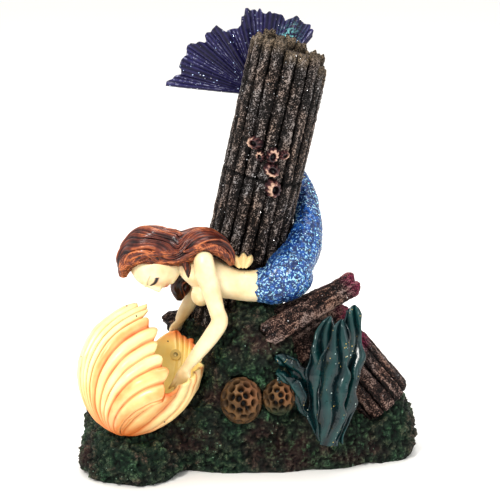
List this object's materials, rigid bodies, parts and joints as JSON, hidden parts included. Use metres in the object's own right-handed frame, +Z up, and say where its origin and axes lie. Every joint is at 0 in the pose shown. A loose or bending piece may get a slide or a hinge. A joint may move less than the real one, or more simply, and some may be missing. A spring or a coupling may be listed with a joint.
{
  "type": "bubbling ornament",
  "caption": "Air-operated aquarium ornament: a mermaid with her tail round a leaning timber post reaches into an open clam shell on a rock.",
  "frame": {"origin": "on the flat underside of the rock, under the middle of the ornament", "axes": "+Z up, along the ornament's height; -Y is the front, where the open shell and the figure face the viewer; +X is the right side seen from the front"},
  "size_m": [0.134, 0.0912, 0.1746],
  "materials": {
    "painted_rock": "cast resin painted dark green and black, varnished with fine glitter",
    "painted_shell": "cast resin painted cream, yellow and orange, semi-gloss",
    "painted_skin": "cast resin painted pale cream, satin",
    "painted_hair": "cast resin painted red-brown with dark grooves, gloss",
    "glitter_tail": "cast resin painted bright blue with dense glitter",
    "glitter_fin": "cast resin painted dark violet blue with glitter",
    "weathered_post": "cast resin painted as weathered dark timber, dry-brushed",
    "wreck_timber": "cast resin painted as red-brown rotten timber, dry-brushed",
    "gloss_kelp": "cast resin painted dark teal, high gloss",
    "painted_sponge": "cast resin painted bronze with dark holes",
    "painted_barnacle": "cast resin painted rose and cream",
    "clear_vinyl": "clear soft vinyl tube",
    "white_plastic": "moulded white plastic",
    "black_rubber": "soft black rubber"
  },
  "bodies": {
    "ornament": {"base_rock": "painted_rock", "shell_upper_valve": "painted_shell", "shell_lower_valve": "painted_shell", "mermaid_torso": "painted_skin", "mermaid_head": "painted_skin", "mermaid_hair": "painted_hair", "mermaid_hair_lock": "painted_hair", "mermaid_left_arm": "painted_skin", "mermaid_right_arm": "painted_skin", "back_bow": "painted_skin", "mermaid_tail": "glitter_tail", "tail_fin": "glitter_fin", "post_core": "weathered_post", "post_stave_01": "weathered_post", "post_stave_02": "weathered_post", "post_stave_03": "weathered_post", "post_stave_04": "weathered_post", "post_stave_05": "weathered_post", "post_stave_06": "weathered_post", "post_stave_07": "weathered_post", "post_stave_08": "weathered_post", "post_stave_09": "weathered_post", "post_stave_10": "weathered_post", "post_stave_11": "weathered_post", "post_stave_12": "weathered_post", "post_stave_13": "weathered_post", "post_stave_14": "weathered_post", "post_stave_15": "weathered_post", "post_stave_16": "weathered_post", "post_stave_17": "weathered_post", "post_stave_18": "weathered_post", "barnacle_1": "painted_barnacle", "barnacle_2": "painted_barnacle", "barnacle_3": "painted_barnacle", "barnacle_4": "painted_barnacle", "barnacle_5": "painted_barnacle", "barnacle_6": "painted_barnacle", "kelp_frond_1": "gloss_kelp", "kelp_frond_2": "gloss_kelp", "kelp_frond_3": "gloss_kelp", "kelp_frond_4": "gloss_kelp", "kelp_frond_5": "gloss_kelp", "kelp_frond_6": "gloss_kelp", "sponge_large": "painted_sponge", "sponge_small": "painted_sponge", "fallen_plank_front": "wreck_timber", "fallen_plank_back": "wreck_timber", "fallen_board": "wreck_timber", "rear_log": "wreck_timber", "wreck_core": "wreck_timber", "wreck_stave_1": "wreck_timber", "wreck_stave_2": "wreck_timber", "wreck_stave_3": "wreck_timber", "wreck_stave_4": "wreck_timber", "wreck_stave_5": "wreck_timber", "wreck_stave_6": "wreck_timber", "air_tube": "clear_vinyl", "bubble_jet": "white_plastic", "elbow_grommet": "black_rubber"},
    "inlet": {"air_elbow": "white_plastic"}
  },
  "joints": [
    {"name": "inlet_swivel", "type": "hinge", "parent": "ornament", "child": "inlet", "pos_m": [-0.03, 0.035, 0.013], "axis": [0, 1, 0], "range_deg": [-90, 90]}
  ]
}
